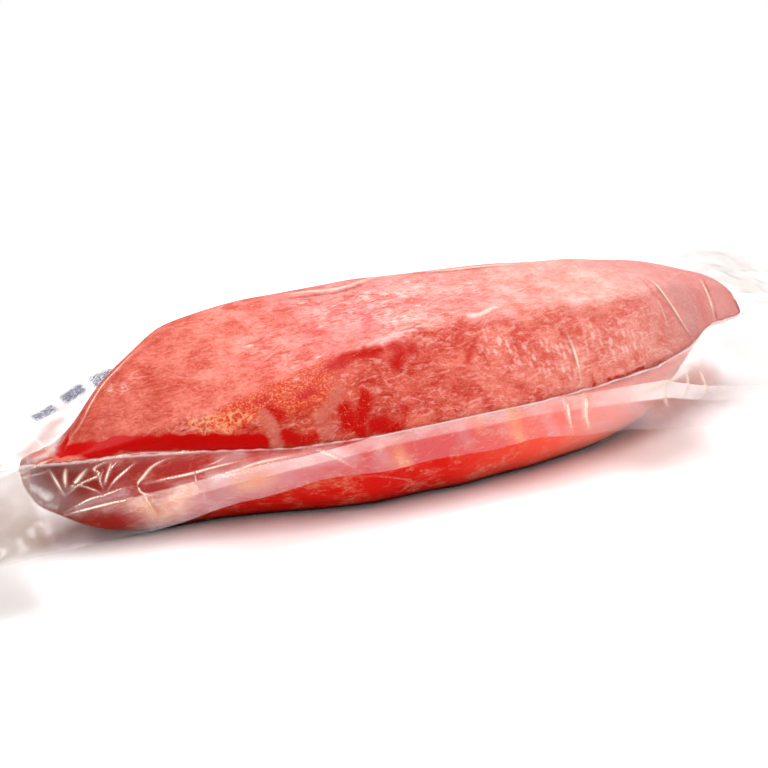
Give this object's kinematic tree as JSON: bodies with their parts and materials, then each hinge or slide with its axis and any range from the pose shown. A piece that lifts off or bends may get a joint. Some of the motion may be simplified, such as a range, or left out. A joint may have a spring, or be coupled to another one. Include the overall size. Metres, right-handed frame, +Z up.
{
  "type": "vacuum-packed tuna fillet",
  "caption": "Raw tuna fillet sealed in a clear vacuum bag: a long spindle with a ridge, a tall flank and cut ends, with a flat film margin all round and loose film past both ends.",
  "frame": {"origin": "on the surface the pack lies on, under the middle of the bag", "axes": "+X along the fillet to its thinner end, -Y towards the side with the tall flank, +Z up"},
  "size_m": [0.56, 0.156, 0.09],
  "materials": {
    "vacuum_film_over_tuna": "gloss"
  },
  "bodies": {
    "root": {"tuna_fillet_pack": "vacuum_film_over_tuna"}
  },
  "joints": []
}
